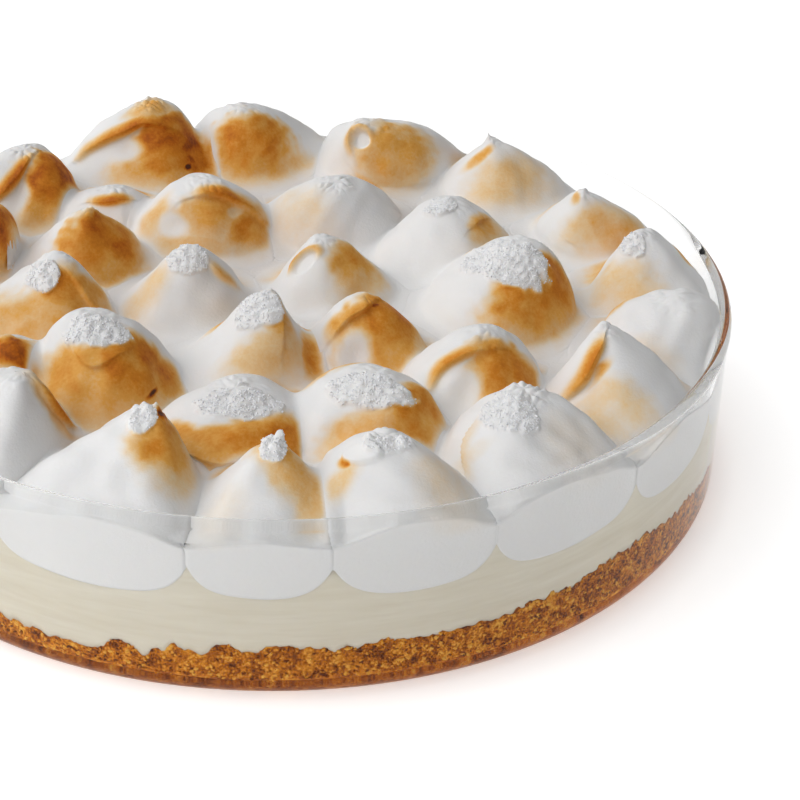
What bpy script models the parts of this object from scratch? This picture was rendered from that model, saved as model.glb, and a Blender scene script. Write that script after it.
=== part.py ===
"""Lemon meringue pie in its own clear glass dish: crumb crust, lemon filling and a crown of piped kisses.

Units are metres, +Z is up, and the origin is the middle of the dish's flat underside. Distances in the
tables and functions below are in millimetres, and MM turns them into metres where a mesh is made.
"""

import math
import random
from collections import namedtuple

import bpy

MM = 0.001

# The dish, a straight-walled round of clear glass.
DISH_RADIUS = 120.0
DISH_HEIGHT = 49.0
WALL = 2.8
BASE = 3.5
OUTER_CORNER = 6.0
INNER_CORNER = 3.0
RIM_SWELL = 0.4
DISH_SEGMENTS = 72

# What fills the dish, bottom to top.
TOUCH_GAP = 0.3
FILL_RADIUS = DISH_RADIUS - WALL - 0.4
CRUST_TOP = 14.5
CRUST_EDGE = 13.8
CRUMB_DEPTH = 0.7
LAYER_SEGMENTS = 120
FLAT_FROM = 0.955

# The piped kisses share the height of their widest point and how deep they sink into the filling. A foot
# spreads there until it meets its neighbours.
WIDEST = 37.0
SUNK = 26.0
UNDERSIDE_CURVE = 4.5
FILLING_GAP = 0.6
FILLING_RIDGE = WIDEST - 1.5
FILLING_FLAT = SUNK - 1.0
KISS_SEGMENTS = 14
UNDERSIDE_SHARES = (0.7, 0.88, 1.0)
DOME_SHARES = (0.02, 0.16, 0.38, 0.63, 0.85)
SKIRT = 0.22
SKIRT_RISE = 0.1
LEAN_CURVE = 1.3
UNEVEN = 0.035
FOLD_WIDTH = 0.42
SEED = 11

# x, y: middle of the foot. radius: at the widest. top: height of the tip. lean: how far the tip stands
# from the middle of the foot. blunt: 1 is a cone with a sharp tip, 2 and over a flat dome. fold: how far a
# folded ridge stands out, as a share of the radius, and fold_at its bearing in degrees.
Kiss = namedtuple("Kiss", "x y radius top lean_x lean_y blunt fold fold_at")

OUTER_KISSES = [
    Kiss(-77, 63, 21, 58, 4.5, 0, 1.3, 0.16, 200),
    Kiss(-40, 91, 23, 62, 1, 0, 1.2, 0.16, 205),
    Kiss(-8, 101, 21, 58, -4, -6, 1.5, 0, 0),
    Kiss(34, 95, 22, 58, -4.5, -11, 1.7, 0.14, 190),
    Kiss(67, 76, 21, 58, -3, 0, 1.1, 0.10, 215),
    Kiss(91, 43, 20, 58, -5, -8, 1.2, 0, 0),
    Kiss(101, 7, 20, 57, -1.5, 2.5, 1.4, 0, 0),
    Kiss(100, -27, 21, 53, 3, 6, 2.2, 0, 0),
    Kiss(84, -57, 22, 59, -3.5, 10, 1.1, 0.18, 225),
    Kiss(58, -83, 22, 58, -1.5, 6, 1.6, 0, 0),
    Kiss(24, -99, 22, 57, 0.5, 2.5, 1.4, 0.12, 160),
    Kiss(-2, -102, 20, 57, 0.5, 3.5, 1.1, 0, 0),
    Kiss(-38, -95, 23, 59, 8.5, 6.5, 1.0, 0, 0),
    Kiss(-69, -72, 21, 59, 8, 0, 1.3, 0.18, 20),
    Kiss(-94, -42, 20, 57, 3, 2, 1.3, 0.10, 140),
    Kiss(-101, -8, 21, 58, 2, -3, 1.2, 0, 0),
    Kiss(-92, 28, 20, 58, 12, -7, 1.5, 0.12, 250),
]
MIDDLE_KISSES = [
    Kiss(-54, 24, 19, 59, 1.5, -4, 1.1, 0, 0),
    Kiss(-22, 48, 23, 58, 1, -8, 1.6, 0.14, 330),
    Kiss(14, 51, 22, 56, 2, -5, 1.5, 0.10, 20),
    Kiss(47, 28, 23, 57, 2, 2.5, 1.8, 0, 0),
    Kiss(58, -5, 22, 58, 6, 4.5, 1.9, 0, 0),
    Kiss(-62, -11, 21, 58, 4, 1.5, 1.4, 0.12, 300),
    Kiss(-44, -46, 22, 60, -0.5, 3, 1.4, 0, 0),
    Kiss(48, -48, 20, 57, 2.5, 1.5, 1.8, 0.16, 190),
    Kiss(-11, -70, 21, 52, 0.5, 2.5, 2.6, 0.12, 290),
    Kiss(20, -68, 21, 55, 2, 4, 2.2, 0, 0),
    Kiss(-67, -43, 17, 56, 0, -5, 1.4, 0, 0),
    Kiss(-50, 56, 17, 50, 2, -3, 1.6, 0.14, 290),
]
INNER_KISSES = [
    Kiss(-25, -1, 21, 57, 1.5, -1, 1.3, 0.10, 335),
    Kiss(14, 7, 19, 57, -2, 0, 1.2, 0.14, 200),
    Kiss(-7, -35, 22, 59, 4, 4, 1.2, 0.16, 320),
    Kiss(22, -28, 19, 56, 0.5, 2, 1.4, 0.18, 195),
]
KISSES = OUTER_KISSES + MIDDLE_KISSES + INNER_KISSES

CRUMB = (0.62, 0.36, 0.14)
LEMON_CREAM = (0.82, 0.79, 0.62)
MERINGUE = (0.86, 0.82, 0.77)
GLASS = (0.93, 0.96, 0.95)


def clear_scene():
    for thing in list(bpy.data.objects):
        bpy.data.objects.remove(thing, do_unlink=True)


def material(name, colour, roughness, see_through=0.0):
    made = bpy.data.materials.new(name)
    made.use_nodes = True
    shader = made.node_tree.nodes["Principled BSDF"]
    shader.inputs["Base Color"].default_value = (*colour, 1.0)
    shader.inputs["Roughness"].default_value = roughness
    shader.inputs["Metallic"].default_value = 0.0
    shader.inputs["Transmission Weight"].default_value = see_through
    return made


def add_object(name, points, faces, finish, sharp_angle):
    mesh = bpy.data.meshes.new(name)
    mesh.from_pydata([(x * MM, y * MM, z * MM) for x, y, z in points], [], faces)
    mesh.materials.append(finish)
    mesh.shade_smooth()
    mesh.set_sharp_from_angle(angle=math.radians(sharp_angle))
    made = bpy.data.objects.new(name, mesh)
    bpy.context.scene.collection.objects.link(made)
    return made


def closed_body(rings, bottom, top):
    """Points and faces of a body of stacked rings, listed bottom to top, with a point closing each end."""
    points = [bottom]
    starts = []
    for ring in rings:
        starts.append(len(points))
        points.extend(ring)
    points.append(top)
    last = len(points) - 1

    faces = []
    first_count = len(rings[0])
    for i in range(first_count):
        faces.append((0, starts[0] + (i + 1) % first_count, starts[0] + i))
    for low, high, low_start, high_start in zip(rings, rings[1:], starts, starts[1:]):
        faces.extend(band(len(low), len(high), low_start, high_start))
    top_count = len(rings[-1])
    for i in range(top_count):
        faces.append((last, starts[-1] + i, starts[-1] + (i + 1) % top_count))
    return points, faces


def band(low_count, high_count, low_start, high_start):
    """Faces between two rings with as many points, or where one has twice as many as the other."""
    faces = []
    if low_count == high_count:
        for i in range(low_count):
            j = (i + 1) % low_count
            faces.append((low_start + i, low_start + j, high_start + j))
            faces.append((low_start + i, high_start + j, high_start + i))
        return faces
    if low_count == 2 * high_count:
        for i in range(high_count):
            j = (i + 1) % high_count
            a = low_start + 2 * i
            c = low_start + (2 * i + 2) % low_count
            faces.append((a, a + 1, high_start + i))
            faces.append((a + 1, c, high_start + j))
            faces.append((a + 1, high_start + j, high_start + i))
        return faces
    for i in range(low_count):
        j = (i + 1) % low_count
        a = high_start + 2 * i
        c = high_start + (2 * i + 2) % high_count
        faces.append((low_start + i, a + 1, a))
        faces.append((low_start + j, c, a + 1))
        faces.append((low_start + i, low_start + j, a + 1))
    return faces


def circle(radius, height, count):
    turn = math.tau / count
    return [(radius * math.cos(i * turn), radius * math.sin(i * turn), height) for i in range(count)]


def arc(middle_r, middle_z, radius, from_degrees, to_degrees, steps):
    """Profile points (distance from the axis, height) along an arc, both ends included."""
    points = []
    for i in range(steps + 1):
        angle = math.radians(from_degrees + (to_degrees - from_degrees) * i / steps)
        points.append((middle_r + radius * math.cos(angle), middle_z + radius * math.sin(angle)))
    return points


def make_dish(finish):
    """The glass wall and base, turned from one profile that runs up the outside and down the inside."""
    rim_radius = (WALL + RIM_SWELL) / 2
    rim_middle = DISH_RADIUS + RIM_SWELL - rim_radius
    inner_wall = DISH_RADIUS - WALL
    profile = [(DISH_RADIUS * 0.5, 0.0)]
    profile += arc(DISH_RADIUS - OUTER_CORNER, OUTER_CORNER, OUTER_CORNER, -90, 0, 4)
    profile += [(DISH_RADIUS, DISH_HEIGHT - 3 * rim_radius)]
    profile += arc(rim_middle, DISH_HEIGHT - rim_radius, rim_radius, 0, 180, 5)
    profile += arc(inner_wall - INNER_CORNER, BASE + INNER_CORNER, INNER_CORNER, 0, -90, 3)
    profile += [(DISH_RADIUS * 0.5, BASE)]
    rings = [circle(r, z, DISH_SEGMENTS) for r, z in profile]
    points, faces = closed_body(rings, (0, 0, 0), (0, 0, BASE))
    return add_object("glass_dish", points, faces, finish, 40)


def crust_edge_height(bearing):
    """Height of the crust's top where it meets the glass: uneven, with one high and one low, lumpy stretch."""
    high_stretch = 3.0 * math.exp(-(((bearing + 0.73) / 0.24) ** 2))
    low_stretch = -4.8 * math.exp(-(((bearing + 2.03) / 0.28) ** 2))
    pointed_lumps = 2.4 * math.sin(60 * bearing + 1.05) * math.exp(-(((bearing + 1.80) / 0.18) ** 2))
    lumps = 0.45 * math.sin(23 * bearing + 0.6) + 0.45 * math.sin(37 * bearing + 2.1)
    swell = 0.35 * math.sin(7 * bearing + 1.3)
    return CRUST_EDGE + high_stretch + low_stretch + pointed_lumps + lumps + swell


def layer_face(edge_height, flat_height, count):
    """Two rings of a layer's face: its uneven edge at the glass, then where it turns flat."""
    edge = []
    turn = math.tau / count
    for i in range(count):
        x = FILL_RADIUS * math.cos(i * turn)
        y = FILL_RADIUS * math.sin(i * turn)
        edge.append((x, y, edge_height(x, y)))
    return [edge, circle(FILL_RADIUS * FLAT_FROM, flat_height, count // 2)]


def crust_edge_at(x, y):
    return crust_edge_height(math.atan2(y, x))


def make_crust(finish):
    """The pressed crumb base, its side pitted with crumbs and its top edge uneven."""
    chance = random.Random(SEED)
    foot = BASE + TOUCH_GAP
    inner = FILL_RADIUS - INNER_CORNER
    rings = [circle(inner * 0.5, foot, LAYER_SEGMENTS // 4), circle(inner, foot, LAYER_SEGMENTS // 2)]
    turn = math.tau / LAYER_SEGMENTS
    top_rings = layer_face(crust_edge_at, CRUST_TOP, LAYER_SEGMENTS)
    for share in (0.0, 0.5):
        ring = []
        for i in range(LAYER_SEGMENTS):
            low = foot + INNER_CORNER
            height = low + (top_rings[0][i][2] - low) * share
            radius = FILL_RADIUS - CRUMB_DEPTH * chance.random()
            ring.append((radius * math.cos(i * turn), radius * math.sin(i * turn), height))
        rings.append(ring)
    rings += top_rings
    points, faces = closed_body(rings, (0, 0, foot), (0, 0, CRUST_TOP))
    return add_object("crumb_crust", points, faces, finish, 25)


def uneven_radius(kiss, bearing):
    """A kiss's radius at its widest, never quite round."""
    chance = random.Random(SEED + int(kiss.x * 7 + kiss.y * 13))
    first = chance.uniform(0, math.tau)
    second = chance.uniform(0, math.tau)
    wave = math.sin(2 * bearing + first) + 0.7 * math.sin(3 * bearing + second)
    return kiss.radius * (1 + UNEVEN * wave)


def underside_height(share):
    """Height of a kiss's rounded underside, where share runs from 0 at its middle to 1 at its widest."""
    return SUNK + (WIDEST - SUNK) * share**UNDERSIDE_CURVE


def underside_over(kiss, x, y):
    distance = math.hypot(x - kiss.x, y - kiss.y)
    return underside_height(distance / uneven_radius(kiss, math.atan2(y - kiss.y, x - kiss.x)))


def filling_edge_at(x, y):
    """At the glass the filling lies just under every kiss and rises in a ridge between two of them."""
    lowest = min(underside_over(kiss, x, y) for kiss in OUTER_KISSES)
    return min(lowest - FILLING_GAP, FILLING_RIDGE)


def make_filling(finish):
    foot = CRUST_TOP + TOUCH_GAP
    underside = layer_face(lambda x, y: crust_edge_at(x, y) + TOUCH_GAP, foot, LAYER_SEGMENTS)
    top = layer_face(filling_edge_at, FILLING_FLAT, 2 * LAYER_SEGMENTS)
    points, faces = closed_body(underside[::-1] + top, (0, 0, foot), (0, 0, FILLING_FLAT))
    return add_object("lemon_filling", points, faces, finish, 30)


def room(kiss, middle_x, middle_y, bearing):
    """How far a kiss can reach along a bearing before it meets the glass or presses on a neighbour."""
    across = math.cos(bearing)
    along = math.sin(bearing)
    forward = middle_x * across + middle_y * along
    limit = FILL_RADIUS
    reach = math.sqrt(max(forward**2 - middle_x**2 - middle_y**2 + limit**2, 0.0)) - forward
    for other in KISSES:
        away_x = other.x - kiss.x
        away_y = other.y - kiss.y
        distance = math.hypot(away_x, away_y)
        if other is kiss or distance > kiss.radius + other.radius + 10:
            continue
        away_x /= distance
        away_y /= distance
        facing = across * away_x + along * away_y
        if facing <= 0.001:
            continue
        border = (distance**2 + kiss.radius**2 - other.radius**2) / (2 * distance) - TOUCH_GAP / 2
        gone = (middle_x - kiss.x) * away_x + (middle_y - kiss.y) * away_y
        reach = min(reach, max(border - gone, 0.5) / facing)
    return reach


def fold_share(kiss, bearing, rise):
    """How far a folded ridge stands out at a bearing, most at half height and fading towards the tip."""
    turned = (bearing - math.radians(kiss.fold_at) + math.pi) % math.tau - math.pi
    return kiss.fold * math.exp(-((turned / FOLD_WIDTH) ** 2)) * math.sin(math.pi * rise**0.7)


def dome_share(kiss, rise):
    """Radius as a share of the kiss's own, where rise runs from 0 at its foot, which spreads, to 1 at its tip."""
    spread = SKIRT * math.exp(-((rise / SKIRT_RISE) ** 2))
    return math.sqrt(1 - rise**kiss.blunt) + spread


def kiss_rings(kiss):
    rings = []
    turn = math.tau / KISS_SEGMENTS
    for share in UNDERSIDE_SHARES:
        ring = []
        for i in range(KISS_SEGMENTS):
            bearing = i * turn
            reach = min(share * uneven_radius(kiss, bearing), room(kiss, kiss.x, kiss.y, bearing))
            x = kiss.x + reach * math.cos(bearing)
            y = kiss.y + reach * math.sin(bearing)
            ring.append((x, y, underside_height(share)))
        rings.append(ring)
    for rise in DOME_SHARES:
        middle_x = kiss.x + kiss.lean_x * rise**LEAN_CURVE
        middle_y = kiss.y + kiss.lean_y * rise**LEAN_CURVE
        height = WIDEST + (kiss.top - WIDEST) * rise
        ring = []
        for i in range(KISS_SEGMENTS):
            bearing = i * turn
            free = uneven_radius(kiss, bearing) * (dome_share(kiss, rise) + fold_share(kiss, bearing, rise))
            reach = min(free, room(kiss, middle_x, middle_y, bearing))
            ring.append((middle_x + reach * math.cos(bearing), middle_y + reach * math.sin(bearing), height))
        rings.append(ring)
    return rings


def make_kiss(number, kiss, finish):
    foot = (kiss.x, kiss.y, SUNK)
    tip = (kiss.x + kiss.lean_x, kiss.y + kiss.lean_y, kiss.top)
    points, faces = closed_body(kiss_rings(kiss), foot, tip)
    return add_object(f"meringue_{number:02d}", points, faces, finish, 50)


def main():
    clear_scene()
    make_dish(material("clear_glass", GLASS, 0.04, see_through=1.0))
    make_crust(material("baked_crumb", CRUMB, 0.85))
    make_filling(material("lemon_cream", LEMON_CREAM, 0.45))
    meringue = material("toasted_meringue", MERINGUE, 0.6)
    for number, kiss in enumerate(KISSES, start=1):
        make_kiss(number, kiss, meringue)


main()
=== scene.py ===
"""Looks of a lemon pie with toasted meringue kisses in its clear glass dish.

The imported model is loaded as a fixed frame, and each piece is made where the frame says. Lengths in the
tables are in millimetres, and MM turns them into metres where a mesh is made. Bearings are in degrees,
anticlockwise from +X seen from above. Rise runs from 0 at a kiss's foot to 1 at its tip.
"""

import math
import random
from collections import namedtuple

import bpy
import numpy as np
from mathutils import Matrix, Vector


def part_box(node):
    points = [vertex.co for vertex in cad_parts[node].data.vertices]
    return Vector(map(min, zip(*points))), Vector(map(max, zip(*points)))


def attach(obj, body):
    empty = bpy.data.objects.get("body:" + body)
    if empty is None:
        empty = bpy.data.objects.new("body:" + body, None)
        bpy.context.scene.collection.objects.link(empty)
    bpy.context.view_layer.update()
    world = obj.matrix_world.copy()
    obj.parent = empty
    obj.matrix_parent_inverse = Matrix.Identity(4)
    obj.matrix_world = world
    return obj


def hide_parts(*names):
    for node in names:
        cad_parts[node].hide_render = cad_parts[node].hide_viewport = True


MM = 0.001
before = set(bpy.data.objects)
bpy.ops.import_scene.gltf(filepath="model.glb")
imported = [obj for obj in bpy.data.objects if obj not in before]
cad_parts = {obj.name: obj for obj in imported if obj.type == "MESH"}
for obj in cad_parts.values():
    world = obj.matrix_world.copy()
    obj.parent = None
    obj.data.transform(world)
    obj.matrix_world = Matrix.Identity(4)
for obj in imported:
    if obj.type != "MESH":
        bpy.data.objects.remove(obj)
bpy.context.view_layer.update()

# Camera, fitted to the rim and the layers of the dish.
IMAGE_SIZE = 800
FOCAL_PIXELS = 2000
SENSOR_WIDTH = 36.0
CAMERA_AT = (0.0, -480.4, 290.3)
YAW = 0.0696
PITCH = 0.5274
ROLL = 0.0348

# The dish, read from the frame, and its wall.
_, DISH_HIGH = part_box("glass_dish")
DISH_HEIGHT = DISH_HIGH.z / MM
RIM_SWELL = 0.4
DISH_RADIUS = DISH_HIGH.x / MM - RIM_SWELL
WALL = 2.8
BASE = 3.5
OUTER_CORNER = 6.0
INNER_CORNER = 3.0
INNER_WALL = DISH_RADIUS - WALL
BEAD = 2.2
DISH_TURNS = 720

# What fills the dish reaches this far into the wall, so that no air gap shows. The crust's flat top and the
# filling's flat underside are out of sight, a hair apart. WEDGE above 1 makes the filling's ridges
# between the kisses more pointed than the frame's, and FILLING_PRESS lifts them a little.
INTO_GLASS = 0.15
CRUST_TOP = 14.0
FILLING_FOOT = 14.2
FILL_RADIUS = INNER_WALL + INTO_GLASS
PRESSED_RADIUS = FILL_RADIUS + 0.1
SIDE_COUNT = 960
FILLING_PRESS = 1.0
WEDGE = 1.35

# The kisses: the height of their widest point and of their underside, and the form of their foot, as in
# the frame.
WIDEST = 37.0
SUNK = 26.0
UNDERSIDE_TOP = WIDEST - 0.8
UNDERSIDE_CURVE = 8.0
LEAN_CURVE = 1.3
UNEVEN = 0.035
SKIRT = 0.22
SKIRT_RISE = 0.1
SHAPE_SEED = 11

# How they meet. VALLEY_FLOOR is the height of the meringue between them, and BLEND how widely their feet run
# into it and into each other. A kiss reaches PRESS past its border with a neighbour, and stays GLASS_GAP off
# the glass where its round form isn't wide enough to be pressed on it. FAR is past any border.
VALLEY_FLOOR = 38.2
BLEND = 1.9
PRESS = 1.6
GLASS_GAP = 1.2
APRON_FOOT = WIDEST - 0.65
FAR = 60.0

# The columns and rows of a kiss's mesh, and the map of its heights that its neighbours read.
AROUND = 168
UNDER_ROWS = 9
PRESSED_ROWS = 6
APRON_ROWS = 8
DOME_ROWS = 84
MAP_STEP = 0.6
MAP_REACH = 42.0

# Unevenness, as height and size of the lumps in millimetres: of a kiss, of the meringue between the
# kisses, and of the crust's top edge.
BIG_LUMPS = (0.75, 13.0)
SMALL_LUMPS = (0.18, 4.0)
FLOOR_LUMPS = (0.35, 9.0)
EDGE_LUMPS = ((0.55, 1.7), (0.30, 0.8))

# radius: at the widest. blunt: 1 is a slim dome, 2 and over a flat one. sharp: the share of a straight
# cone in the shape. hook: how far the last of the tip bends over, in millimetres, and its bearing.
Kiss = namedtuple("Kiss", "radius blunt sharp hook hook_at")
KISS_FORMS = [
    Kiss(21, 1.3, 0.25, 1.5, 200),
    Kiss(23, 1.2, 0.35, 1.5, 180),
    Kiss(21, 1.5, 0.20, 1.0, 90),
    Kiss(22, 1.7, 0.20, 2.5, 200),
    Kiss(21, 1.1, 0.70, 1.5, 170),
    Kiss(20, 1.2, 0.60, 1.0, 150),
    Kiss(20, 1.4, 0.45, 1.0, 150),
    Kiss(21, 2.0, 0.20, 0.0, 0),
    Kiss(22, 1.1, 0.55, 0.5, 90),
    Kiss(22, 1.6, 0.30, 1.5, 60),
    Kiss(22, 1.4, 0.30, 1.0, 180),
    Kiss(20, 1.1, 0.70, 1.5, 20),
    Kiss(23, 1.0, 0.45, 1.0, 20),
    Kiss(21, 1.3, 0.30, 1.0, 0),
    Kiss(20, 1.3, 0.40, 1.0, 300),
    Kiss(21, 1.2, 0.40, 1.5, 60),
    Kiss(20, 1.5, 0.25, 1.0, 0),
    Kiss(19, 1.1, 0.40, 1.5, 20),
    Kiss(23, 1.6, 0.25, 1.0, 0),
    Kiss(22, 1.5, 0.20, 0.0, 0),
    Kiss(23, 1.8, 0.35, 1.5, 60),
    Kiss(22, 1.9, 0.10, 0.0, 0),
    Kiss(21, 1.4, 0.35, 1.0, 150),
    Kiss(22, 1.4, 0.15, 0.0, 0),
    Kiss(20, 1.8, 0.20, 1.0, 0),
    Kiss(21, 2.4, 0.10, 0.0, 0),
    Kiss(21, 2.0, 0.10, 0.0, 0),
    Kiss(17, 1.4, 0.25, 0.0, 0),
    Kiss(17, 1.6, 0.20, 0.0, 0),
    Kiss(21, 1.3, 0.45, 0.5, 0),
    Kiss(19, 1.2, 0.40, 1.5, 200),
    Kiss(22, 1.2, 0.60, 1.0, 10),
    Kiss(19, 1.4, 0.35, 1.0, 200),
]
# A kiss pressed on the glass spreads until it all but meets its neighbours there: how far its round form
# reaches past the corner between them, the most that it widens, and over how many degrees.
CORNER_REACH = 1.012
WIDENED = 5.0
WIDENED_OVER = 25.0

# Where the flame browned a kiss: middle, half width along the level, half height uphill, turn in degrees,
# strength, where 1 is brown and more is scorched, and how softly it ends uphill and downhill, as a share
# of its size.
Toast = namedtuple("Toast", "kiss bearing rise wide high turn strength soft_up soft_down")
TOASTS = [
    Toast(1, -32, 0.62, 13, 11, 0, 0.98, 0.27, 0.75),
    Toast(1, -8, 0.50, 7, 10, 0, 1.18, 0.42, 0.65),
    Toast(1, -66, 0.40, 7, 8, 0, 0.70, 0.52, 0.85),
    Toast(2, -56, 0.55, 14, 12, 0, 0.98, 0.27, 0.70),
    Toast(2, -28, 0.38, 7, 9, 0, 1.15, 0.42, 0.65),
    Toast(2, -92, 0.34, 11, 6, 0, 0.60, 0.55, 0.85),
    Toast(2, -70, 0.94, 8, 5, 0, 0.55, 0.42, 0.75),
    Toast(2, -46, 0.33, 1.5, 1.2, 0, 1.60, 0.42, 0.65),
    Toast(2, -36, 0.38, 1.6, 3.0, 20, 1.45, 0.52, 0.75),
    Toast(3, -82, 0.52, 15, 13, 0, 0.80, 0.27, 0.70),
    Toast(3, -66, 0.45, 5, 4, 0, 0.95, 0.55, 0.85),
    Toast(3, -108, 0.68, 4, 3, 0, 0.95, 0.52, 0.85),
    Toast(3, -50, 0.20, 11, 5, 0, 0.42, 0.55, 0.85),
    Toast(4, -70, 0.64, 13, 12, 0, 0.64, 0.35, 0.80),
    Toast(4, -60, 0.74, 5, 5, 0, 0.75, 0.55, 0.85),
    Toast(4, -86, 0.28, 13, 7, 0, 0.30, 0.55, 0.85),
    Toast(4, -112, 0.22, 3, 3, 0, 0.50, 0.52, 0.75),
    Toast(5, -150, 0.71, 2.0, 5.5, -25, 0.68, 0.42, 0.75),
    Toast(5, -74, 0.48, 13, 9, 0, 0.38, 0.55, 0.85),
    Toast(5, -94, 0.36, 8, 5, 0, 0.36, 0.60, 0.95),
    Toast(6, -160, 0.90, 2.2, 2.0, 0, 0.55, 0.52, 0.75),
    Toast(6, -72, 0.56, 11, 8, 0, 0.44, 0.52, 0.90),
    Toast(6, -56, 0.46, 9, 7, 0, 0.52, 0.60, 0.90),
    Toast(7, -128, 0.45, 11, 9, 0, 0.34, 0.55, 0.85),
    Toast(8, -120, 0.50, 8, 6, 0, 0.14, 0.55, 0.85),
    Toast(9, -134, 0.60, 2.2, 7, -20, 0.85, 0.42, 0.65),
    Toast(9, -102, 0.46, 12, 8, 0, 0.30, 0.50, 0.90),
    Toast(9, -112, 0.30, 9, 5, 0, 0.30, 0.60, 0.95),
    Toast(10, -36, 0.60, 8, 8, 0, 0.12, 0.55, 0.85),
    Toast(10, -152, 0.30, 2.4, 8, -15, 0.18, 0.55, 0.85),
    Toast(11, -162, 0.77, 1.6, 1.6, 0, 1.25, 0.42, 0.65),
    Toast(11, -150, 0.55, 3, 8, 0, 0.34, 0.55, 0.85),
    Toast(11, -30, 0.60, 7, 9, 0, 0.20, 0.55, 0.85),
    Toast(12, -38, 0.68, 5, 12, 0, 0.60, 0.50, 0.85),
    Toast(12, -30, 0.44, 7, 6, 0, 0.50, 0.55, 0.90),
    Toast(12, -140, 0.40, 5, 8, 0, 0.12, 0.55, 0.85),
    Toast(13, -14, 0.95, 1.8, 1.6, 0, 1.35, 0.42, 0.65),
    Toast(13, -32, 0.72, 8, 9, 0, 0.76, 0.45, 0.80),
    Toast(13, -24, 0.50, 7, 6, 0, 0.50, 0.55, 0.90),
    Toast(14, -6, 0.55, 3.4, 11, 0, 0.50, 0.42, 0.75),
    Toast(15, -30, 0.62, 11, 10, 0, 0.90, 0.32, 0.75),
    Toast(15, -84, 0.48, 9, 6, 0, 0.50, 0.52, 0.85),
    Toast(16, -24, 0.58, 11, 11, 0, 0.95, 0.32, 0.75),
    Toast(16, -100, 0.40, 10, 6, 0, 0.40, 0.52, 0.85),
    Toast(17, -22, 0.62, 12, 11, 0, 1.05, 0.32, 0.75),
    Toast(18, -54, 0.56, 14, 12, 0, 0.88, 0.27, 0.65),
    Toast(18, -30, 0.42, 6, 6, 0, 1.00, 0.52, 0.75),
    Toast(18, -44, 0.90, 3, 3, 0, 0.75, 0.52, 0.75),
    Toast(19, -70, 0.68, 13, 8, 0, 0.66, 0.32, 0.85),
    Toast(19, -42, 0.44, 9, 7, 0, 0.78, 0.52, 0.75),
    Toast(19, -96, 0.32, 14, 4, 0, 0.46, 0.52, 0.85),
    Toast(19, -146, 0.45, 5, 8, 0, 0.40, 0.52, 0.85),
    Toast(20, -134, 0.58, 10, 10, 0, 0.22, 0.55, 0.85),
    Toast(21, -30, 0.74, 8, 5, 0, 0.70, 0.32, 0.75),
    Toast(21, -20, 0.50, 8, 6, 0, 0.30, 0.55, 0.85),
    Toast(22, -64, 0.56, 15, 11, 0, 0.78, 0.22, 0.60),
    Toast(22, -24, 0.60, 7, 10, 0, 0.92, 0.32, 0.65),
    Toast(23, -58, 0.76, 7, 7, 0, 0.88, 0.32, 0.75),
    Toast(23, -100, 0.45, 19, 10, 0, 0.52, 0.50, 0.60),
    Toast(23, -30, 0.52, 9, 8, 0, 0.66, 0.52, 0.75),
    Toast(24, -84, 0.50, 22, 13, 0, 0.66, 0.30, 0.60),
    Toast(24, -46, 0.55, 10, 12, 0, 0.92, 0.27, 0.70),
    Toast(24, -20, 0.36, 7, 6, 0, 0.92, 0.52, 0.75),
    Toast(24, -44, 0.36, 2.8, 0.9, 15, 1.60, 0.52, 0.75),
    Toast(25, -60, 0.62, 11, 12, 0, 0.78, 0.24, 0.70),
    Toast(25, -34, 0.52, 6, 9, 0, 0.92, 0.42, 0.65),
    Toast(26, -84, 0.62, 18, 8, 0, 0.72, 0.20, 0.55),
    Toast(26, -142, 0.50, 7, 6, 0, 0.62, 0.30, 0.50),
    Toast(26, -46, 0.52, 8, 8, 0, 0.95, 0.42, 0.65),
    Toast(26, -106, 0.32, 13, 4, 0, 0.55, 0.42, 0.75),
    Toast(27, -38, 0.66, 11, 9, 0, 0.84, 0.27, 0.70),
    Toast(27, -80, 0.54, 15, 7, 0, 0.56, 0.40, 0.75),
    Toast(27, -100, 0.34, 10, 5, 0, 0.26, 0.55, 0.85),
    Toast(28, -62, 0.66, 12, 10, 0, 1.10, 0.32, 0.65),
    Toast(30, -146, 0.45, 5, 11, 0, 0.30, 0.55, 0.85),
    Toast(31, -34, 0.62, 8, 9, 0, 0.64, 0.32, 0.75),
    Toast(32, -54, 0.76, 4, 9, 0, 0.66, 0.52, 0.75),
    Toast(32, -70, 0.52, 11, 7, 0, 0.46, 0.50, 0.90),
    Toast(32, -10, 0.30, 8, 5, 0, 0.82, 0.52, 0.75),
    Toast(32, -88, 0.20, 17, 4, 0, 0.46, 0.50, 0.70),
    Toast(33, -54, 0.66, 14, 12, 0, 0.84, 0.24, 0.60),
    Toast(33, -132, 0.70, 4, 5, -20, 0.70, 0.42, 0.75),
    Toast(33, -60, 0.86, 6, 4, 0, 0.90, 0.32, 0.75),
    Toast(33, -52, 0.94, 1.6, 0.9, 0, 1.35, 0.52, 0.75),
]
# The far side, which the front view hides, is browned as freely: this many marks for each kiss.
FAR_TOASTS = 2

# Shallow hollows between folds, which the flame missed: depth in the middle, and the share of the browning
# that they lose.
Dent = namedtuple("Dent", "kiss bearing rise wide high turn depth pale")
DENTS = [
    Dent(1, -92, 0.58, 4, 8, 0, 1.2, 0.90),
    Dent(2, -120, 0.56, 7, 4.5, 15, 1.4, 0.85),
    Dent(4, -138, 0.45, 5, 6, 0, 0.8, 0.60),
    Dent(9, -150, 0.50, 4, 9, -20, 0.8, 0.80),
    Dent(19, -122, 0.55, 6, 4, 0, 1.2, 0.85),
    Dent(19, -48, 0.70, 3.5, 2, 0, 0.7, 0.45),
    Dent(25, -108, 0.50, 5, 9, 0, 1.6, 0.90),
    Dent(29, -90, 0.60, 6, 5, 0, 0.8, 0.80),
    Dent(31, -118, 0.50, 5, 9, 0, 1.0, 0.90),
    Dent(33, -104, 0.48, 5, 8, 0, 1.6, 0.95),
]

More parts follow.
